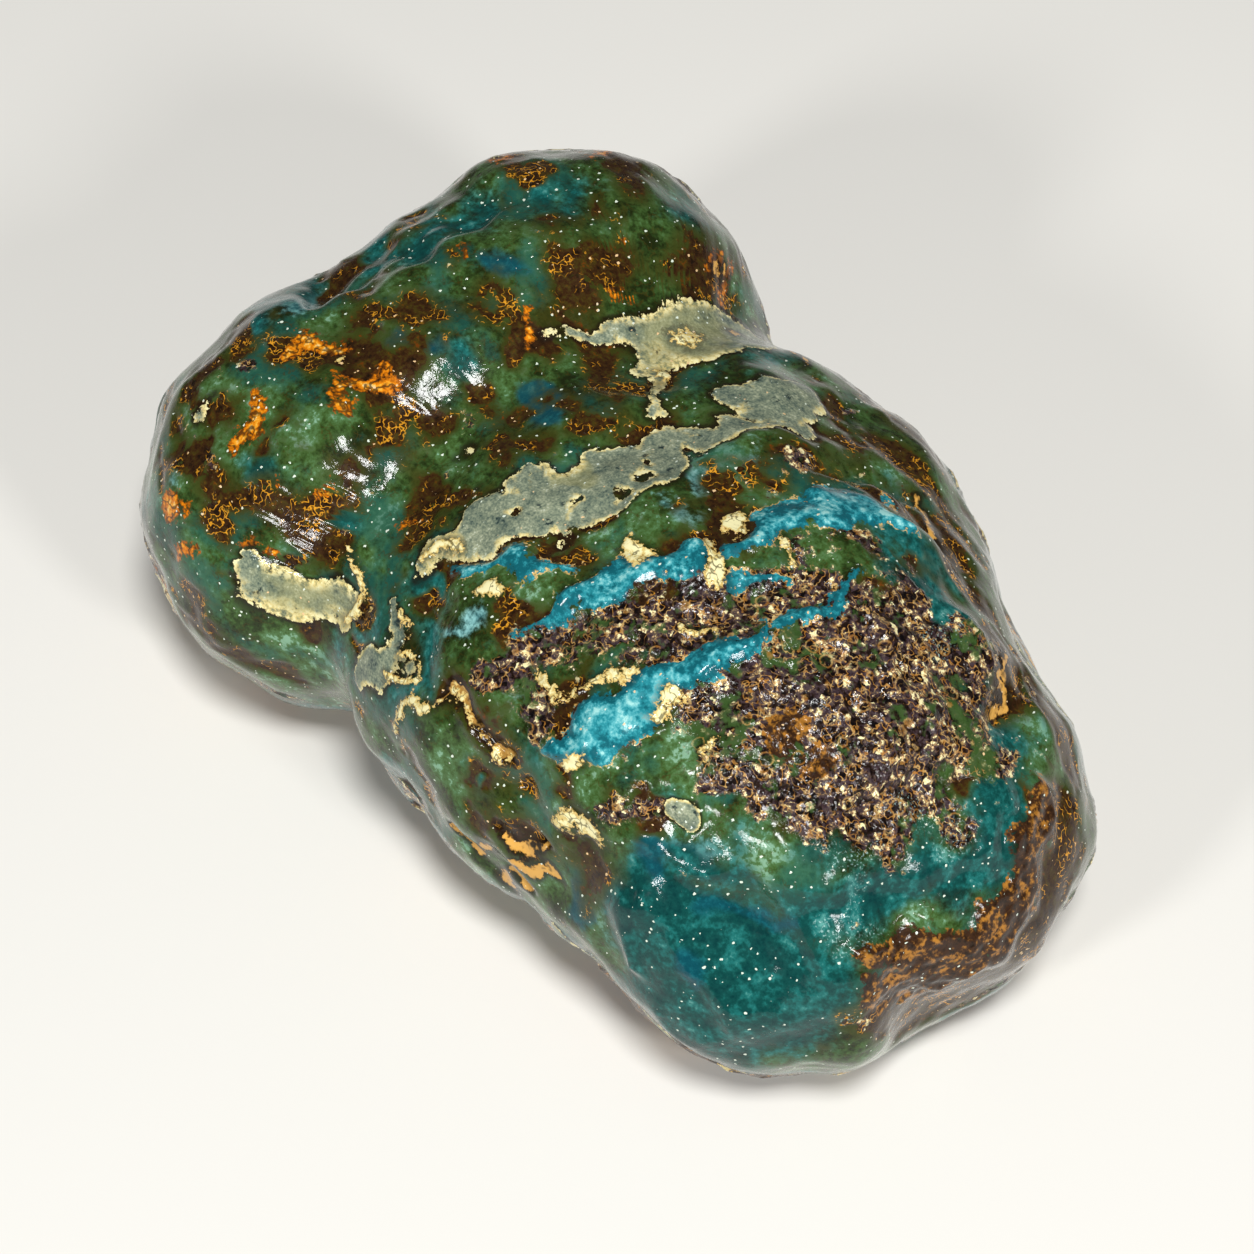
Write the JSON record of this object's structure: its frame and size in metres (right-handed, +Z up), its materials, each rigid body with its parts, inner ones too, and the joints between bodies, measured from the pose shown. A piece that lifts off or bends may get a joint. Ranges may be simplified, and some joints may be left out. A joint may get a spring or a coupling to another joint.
{
  "type": "rough blue amber nodule",
  "caption": "Rough tumbled nodule of blue amber, mottled teal, green and brown, lying on a worn flat base.",
  "frame": {"origin": "on the resting plane, under the middle of the bounding box", "axes": "+Z up from the worn base, +X along the nodule to its thick, pitted end"},
  "size_m": [0.0582, 0.0386, 0.0246],
  "materials": {
    "amber": "gloss"
  },
  "bodies": {
    "root": {"nodule": "amber"}
  },
  "joints": []
}
